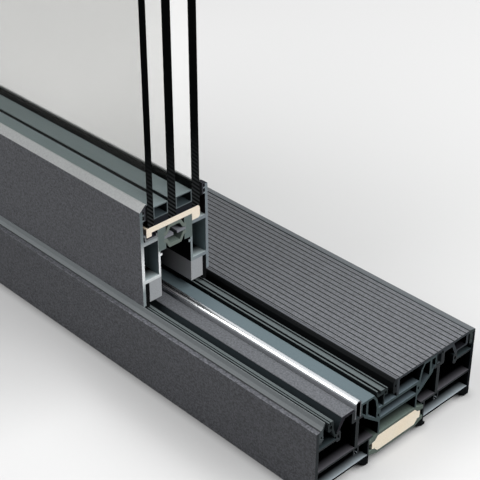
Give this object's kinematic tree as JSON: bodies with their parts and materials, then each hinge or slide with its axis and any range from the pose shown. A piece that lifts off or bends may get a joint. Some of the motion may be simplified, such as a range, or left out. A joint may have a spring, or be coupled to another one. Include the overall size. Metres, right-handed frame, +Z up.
{
  "type": "glass sliding patio door section",
  "caption": "Cut section of a glass sliding patio door: insulated two-track aluminium threshold with ribbed deck and running rail, and the triple-glazed foot of the sash sliding on it.",
  "frame": {"origin": "centre of the underside, on the floor, midway along the threshold and between its front and rear faces", "axes": "+X along the threshold and the sash's travel, -Y towards the front face with the sliding sash, +Z up"},
  "size_m": [0.8, 0.174, 0.38],
  "materials": {
    "powder_coat": "dark grey fine-texture powder coat, bare at the sawn ends",
    "bead_coat": "light grey coat, satin",
    "stainless": "bright, drawn",
    "centre_plastic": "blue-grey extruded plastic",
    "polyamide": "grey-green, glass filled",
    "foam": "beige fine-cell foam",
    "block_plastic": "beige moulded plastic",
    "grey_rubber": "green-grey seal",
    "black_rubber": "black seal",
    "skirt_plastic": "light grey moulded plastic",
    "light_plastic": "mid grey plastic",
    "glass": "clear float glass",
    "spacer_metal": "thin-walled, matt",
    "sealant": "black edge sealant",
    "carriage_metal": "zinc-coated"
  },
  "bodies": {
    "threshold": {"centre_profile": "centre_plastic", "deck_board": "powder_coat", "foam_core": "foam", "front_base_seal": "black_rubber", "front_frame_profile": "powder_coat", "front_inner_base_seal": "black_rubber", "front_sill_seal": "grey_rubber", "front_track_gasket": "grey_rubber", "lower_foam_bar": "polyamide", "rail_slot_insert": "centre_plastic", "rear_base_seal": "black_rubber", "rear_edge_seal": "grey_rubber", "rear_frame_profile": "powder_coat", "rear_inner_base_seal": "black_rubber", "rear_sill_seal": "black_rubber", "rear_track_gasket": "grey_rubber", "running_rail": "stainless", "track_cover": "powder_coat", "upper_foam_bar": "polyamide"},
    "sash": {"sash_front_profile": "powder_coat", "sash_rear_profile": "powder_coat", "upper_thermal_bar": "polyamide", "lower_thermal_bar": "polyamide", "front_insulation_fin": "light_plastic", "rear_insulation_fin": "light_plastic", "glazing_block": "block_plastic", "block_clip": "light_plastic", "front_pane": "glass", "middle_pane": "glass", "rear_pane": "glass", "front_spacer": "spacer_metal", "rear_spacer": "spacer_metal", "front_edge_sealant": "sealant", "rear_edge_sealant": "sealant", "front_glazing_bead": "bead_coat", "rear_glazing_bead": "bead_coat", "front_glazing_gasket": "black_rubber", "rear_glazing_gasket": "black_rubber", "front_skirt_block": "skirt_plastic", "rear_skirt_block": "skirt_plastic", "front_brush_seal": "black_rubber", "rear_brush_seal": "black_rubber", "roller_carriages": "carriage_metal"}
  },
  "joints": [
    {"name": "sash_slide", "type": "slide", "parent": "threshold", "child": "sash", "axis": [1, 0, 0], "range_m": [-0.19, 0.19]}
  ]
}
